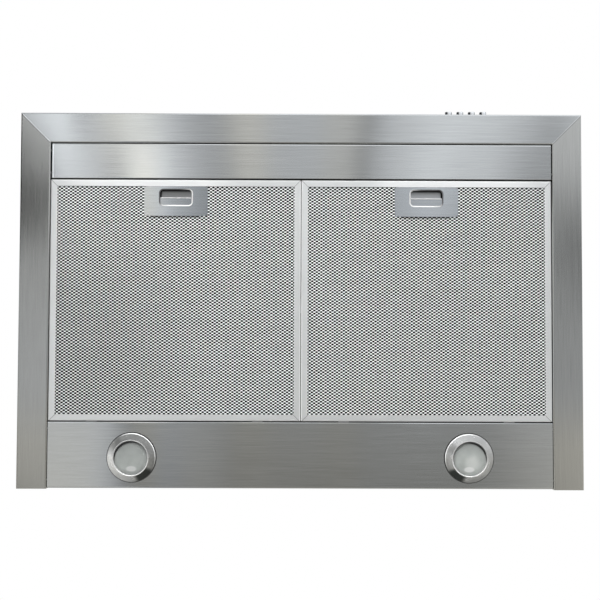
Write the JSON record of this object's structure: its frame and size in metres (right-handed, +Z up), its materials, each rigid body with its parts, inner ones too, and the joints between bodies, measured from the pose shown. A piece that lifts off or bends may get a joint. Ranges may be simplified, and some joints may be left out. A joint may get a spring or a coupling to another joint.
{
  "type": "chimney range hood",
  "caption": "Wall chimney range hood: folded steel canopy, hinged mesh grease filters, lamps, push buttons, blower, flap damper and telescopic chimney.",
  "frame": {"origin": "centre of the two wall screws on the wall plane, 170 mm above the rim's underside", "axes": "+X to the right when facing the hood, along its width; +Y into the wall; +Z up"},
  "size_m": [0.75, 0.5089, 0.6741],
  "materials": {
    "brushed_steel": "brushed along its length, with soft cool and warm bands",
    "galvanised_steel": "galvanised, faint spangle",
    "filter_aluminium": "mill finish, slightly matt",
    "satin_grey_handle": "satin grey",
    "chrome": "polished",
    "black_plastic": "moulded, fine grain",
    "white_plastic": "moulded, satin",
    "frosted_glass": "frosted"
  },
  "bodies": {
    "hood": {"canopy_front": "brushed_steel", "canopy_left_side": "brushed_steel", "canopy_right_side": "brushed_steel", "back_plate": "galvanised_steel", "top_plate": "galvanised_steel", "front_infill_panel": "brushed_steel", "lamp_panel": "brushed_steel", "panel_rivets": "filter_aluminium", "lamp_bezel_left": "brushed_steel", "lamp_lens_left": "frosted_glass", "lamp_reflector_left": "filter_aluminium", "lamp_bulb_left": "frosted_glass", "lamp_holder_left": "white_plastic", "lamp_bezel_right": "brushed_steel", "lamp_lens_right": "frosted_glass", "lamp_reflector_right": "filter_aluminium", "lamp_bulb_right": "frosted_glass", "lamp_holder_right": "white_plastic", "switch_block": "black_plastic", "switch_bracket": "galvanised_steel", "junction_box": "black_plastic", "junction_box_cover": "black_plastic", "terminal_block": "white_plastic", "capacitor": "white_plastic", "capacitor_clip": "galvanised_steel", "cable_grommet": "black_plastic", "blower_box": "galvanised_steel", "scroll_left": "black_plastic", "scroll_right": "black_plastic", "motor": "galvanised_steel", "motor_bracket": "galvanised_steel", "outlet_collar": "black_plastic", "damper_pin": "chrome", "lower_chimney_cover": "brushed_steel", "assembly_screws": "galvanised_steel"},
    "filter_left": {"filter_frame_left": "filter_aluminium", "filter_front_mesh_left": "filter_aluminium", "filter_core_left": "filter_aluminium", "filter_back_mesh_left": "filter_aluminium", "handle_plate_left": "satin_grey_handle", "latch_spring_left": "chrome"},
    "latch_left": {"latch_slider_left": "satin_grey_handle"},
    "filter_right": {"filter_frame_right": "filter_aluminium", "filter_front_mesh_right": "filter_aluminium", "filter_core_right": "filter_aluminium", "filter_back_mesh_right": "filter_aluminium", "handle_plate_right": "satin_grey_handle", "latch_spring_right": "chrome"},
    "latch_right": {"latch_slider_right": "satin_grey_handle"},
    "light_button": {"light_button": "chrome"},
    "low_speed_button": {"low_speed_button": "chrome"},
    "medium_speed_button": {"medium_speed_button": "chrome"},
    "high_speed_button": {"high_speed_button": "chrome"},
    "impeller": {"impeller": "galvanised_steel", "motor_shaft": "chrome"},
    "damper_left": {"damper_flap_left": "galvanised_steel"},
    "damper_right": {"damper_flap_right": "galvanised_steel"},
    "upper_chimney": {"upper_chimney_cover": "brushed_steel", "upper_wall_bracket": "galvanised_steel", "bracket_screws": "galvanised_steel"}
  },
  "joints": [
    {"name": "filter_left_swing", "type": "hinge", "parent": "hood", "child": "filter_left", "pos_m": [-0.1673, -0.0893, -0.1688], "axis": [1, 0, 0], "range_deg": [0, 70]},
    {"name": "latch_left_slide", "type": "slide", "parent": "filter_left", "child": "latch_left", "axis": [0, 1, 0], "range_m": [0, 0.006], "stiffness_N_per_m": 500, "springref_m": -0.002, "deforming": ["latch_spring_left"]},
    {"name": "filter_right_swing", "type": "hinge", "parent": "hood", "child": "filter_right", "pos_m": [0.1673, -0.0893, -0.1688], "axis": [1, 0, 0], "range_deg": [0, 70]},
    {"name": "latch_right_slide", "type": "slide", "parent": "filter_right", "child": "latch_right", "axis": [0, 1, 0], "range_m": [0, 0.006], "stiffness_N_per_m": 500, "springref_m": -0.002, "deforming": ["latch_spring_right"]},
    {"name": "light_press", "type": "slide", "parent": "hood", "child": "light_button", "axis": [0, 1, 0], "range_m": [0, 0.0035], "stiffness_N_per_m": 300, "springref_m": -0.001},
    {"name": "low_speed_press", "type": "slide", "parent": "hood", "child": "low_speed_button", "axis": [0, 1, 0], "range_m": [0, 0.0035], "stiffness_N_per_m": 300, "springref_m": -0.001},
    {"name": "medium_speed_press", "type": "slide", "parent": "hood", "child": "medium_speed_button", "axis": [0, 1, 0], "range_m": [0, 0.0035], "stiffness_N_per_m": 300, "springref_m": -0.001},
    {"name": "high_speed_press", "type": "slide", "parent": "hood", "child": "high_speed_button", "axis": [0, 1, 0], "range_m": [0, 0.0035], "stiffness_N_per_m": 300, "springref_m": -0.001},
    {"name": "impeller_spin", "type": "hinge", "parent": "hood", "child": "impeller", "pos_m": [0, -0.15, 0.1912], "axis": [1, 0, 0], "continuous": true},
    {"name": "damper_left_swing", "type": "hinge", "parent": "hood", "child": "damper_left", "pos_m": [0, -0.1, 0.3222], "axis": [0, 1, 0], "range_deg": [0, 80]},
    {"name": "damper_right_swing", "type": "hinge", "parent": "hood", "child": "damper_right", "pos_m": [0, -0.1, 0.3222], "axis": [0, -1, 0], "range_deg": [0, 80]},
    {"name": "upper_chimney_slide", "type": "slide", "parent": "hood", "child": "upper_chimney", "axis": [0, 0, 1], "range_m": [0, 0.35]}
  ]
}
